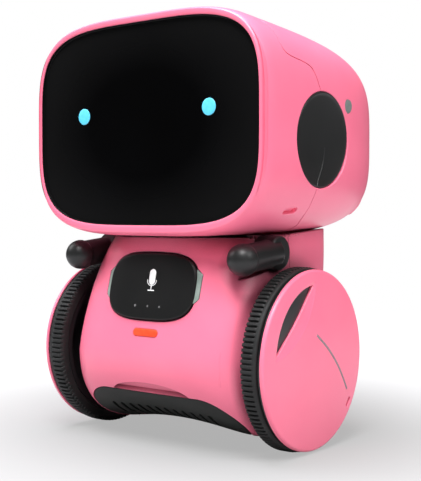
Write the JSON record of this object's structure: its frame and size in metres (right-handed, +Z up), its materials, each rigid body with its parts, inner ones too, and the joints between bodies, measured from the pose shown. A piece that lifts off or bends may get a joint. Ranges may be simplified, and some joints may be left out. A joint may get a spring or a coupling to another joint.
{
  "type": "toy robot",
  "caption": "Two-wheeled desk robot toy with a big TV-shaped head, glossy dark face with two round lit eyes, swinging arms, ribbed tyres, a talk button and a speaker grille.",
  "frame": {"origin": "on the floor, under the middle of the outline in X and Y; the wheel axle lies 11.9 mm in front of it and 27.3 mm up", "axes": "+X to the side of the robot that is on the right when its face is looked at, -Y the way the face looks, +Z up"},
  "size_m": [0.092, 0.0802, 0.1297],
  "materials": {
    "pink_shell": "satin moulded ABS",
    "pink_cover": "satin moulded ABS",
    "face_black": "polished smoked acrylic",
    "eye_cyan": "lit diffuser",
    "inner_black": "moulded",
    "soft_black": "fine matt texture",
    "dot_grey": "tinted window",
    "grille_grey": "fine matt texture",
    "button_black": "satin",
    "lamp_orange": "translucent",
    "guide_clear": "frosted translucent",
    "board_green": "solder mask",
    "steel": "plain",
    "nylon_white": "moulded acetal",
    "hub_black": "moulded",
    "tyre_rubber": "ribbed rubber",
    "cell_wrap": "printed sleeve"
  },
  "bodies": {
    "body": {"body_front_shell": "pink_shell", "body_rear_shell": "pink_shell", "speaker_grille": "grille_grey", "speaker": "inner_black", "speaker_magnet": "steel", "lamp_window": "lamp_orange", "button_light_guide": "guide_clear", "talk_switch": "inner_black", "microphone": "steel", "main_board": "board_green", "battery_tray": "inner_black", "battery_cells": "cell_wrap", "battery_contacts": "steel", "battery_door": "pink_shell", "battery_door_screw": "steel", "power_switch": "inner_black", "body_screws": "steel", "rear_glide": "nylon_white", "motor_left": "steel", "motor_right": "steel", "gear_plate_left": "nylon_white", "gear_plate_right": "nylon_white", "axle_bush_left": "nylon_white", "axle_bush_right": "nylon_white"},
    "head": {"head_front_shell": "pink_shell", "head_rear_shell": "pink_shell", "face_lens": "face_black", "face_frame": "inner_black", "eye_lights": "eye_cyan", "eye_board": "board_green", "ear_dish_left": "soft_black", "ear_dish_right": "soft_black", "sensor_dots": "dot_grey", "head_screws": "steel", "neck_spindle": "inner_black", "neck_washer": "nylon_white", "neck_retainer": "steel"},
    "button": {"talk_button": "button_black"},
    "power_knob": {"power_knob": "button_black"},
    "wheel_left": {"axle_gear_left": "nylon_white", "axle_left": "steel", "wheel_hub_left": "hub_black", "tyre_left": "tyre_rubber", "wheel_cover_left": "pink_cover"},
    "idler_left": {"idler_gear_left": "nylon_white"},
    "pinion_left": {"motor_pinion_left": "nylon_white"},
    "arm_left": {"arm_left": "soft_black", "shoulder_pin_left": "steel", "shoulder_clip_left": "steel"},
    "wheel_right": {"axle_gear_right": "nylon_white", "axle_right": "steel", "wheel_hub_right": "hub_black", "tyre_right": "tyre_rubber", "wheel_cover_right": "pink_cover"},
    "idler_right": {"idler_gear_right": "nylon_white"},
    "pinion_right": {"motor_pinion_right": "nylon_white"},
    "arm_right": {"arm_right": "soft_black", "shoulder_pin_right": "steel", "shoulder_clip_right": "steel"}
  },
  "joints": [
    {"name": "head_turn", "type": "hinge", "parent": "body", "child": "head", "pos_m": [0, -0.00586, 0.0635], "axis": [0, 0, 1], "range_deg": [-22, 22]},
    {"name": "talk_press", "type": "slide", "parent": "body", "child": "button", "axis": [0, 1, 0], "range_m": [0, 0.0008], "stiffness_N_per_m": 900, "springref_m": -0.0004},
    {"name": "power_slide", "type": "slide", "parent": "body", "child": "power_knob", "axis": [1, 0, 0], "range_m": [0, 0.003]},
    {"name": "wheel_spin_left", "type": "hinge", "parent": "body", "child": "wheel_left", "pos_m": [-0.0355, -0.01186, 0.0273], "axis": [1, 0, 0], "continuous": true},
    {"name": "idler_spin_left", "type": "hinge", "parent": "body", "child": "idler_left", "pos_m": [-0.028, -0.01985, 0.03557], "axis": [1, 0, 0], "continuous": true},
    {"name": "pinion_spin_left", "type": "hinge", "parent": "body", "child": "pinion_left", "pos_m": [-0.027, -0.01785, 0.0469], "axis": [1, 0, 0], "continuous": true},
    {"name": "arm_swing_left", "type": "hinge", "parent": "body", "child": "arm_left", "pos_m": [-0.0327, -0.01766, 0.0589], "axis": [1, 0, 0], "range_deg": [-4, 8]},
    {"name": "wheel_spin_right", "type": "hinge", "parent": "body", "child": "wheel_right", "pos_m": [0.0355, -0.01186, 0.0273], "axis": [1, 0, 0], "continuous": true},
    {"name": "idler_spin_right", "type": "hinge", "parent": "body", "child": "idler_right", "pos_m": [0.028, -0.01985, 0.03557], "axis": [1, 0, 0], "continuous": true},
    {"name": "pinion_spin_right", "type": "hinge", "parent": "body", "child": "pinion_right", "pos_m": [0.027, -0.01785, 0.0469], "axis": [1, 0, 0], "continuous": true},
    {"name": "arm_swing_right", "type": "hinge", "parent": "body", "child": "arm_right", "pos_m": [0.0327, -0.01766, 0.0589], "axis": [1, 0, 0], "range_deg": [-4, 8]}
  ],
  "couplings": [
    {"joint": "idler_spin_left", "follows": "wheel_spin_left", "ratio": -3.6},
    {"joint": "pinion_spin_left", "follows": "wheel_spin_left", "ratio": 12.96},
    {"joint": "idler_spin_right", "follows": "wheel_spin_right", "ratio": -3.6},
    {"joint": "pinion_spin_right", "follows": "wheel_spin_right", "ratio": 12.96}
  ]
}
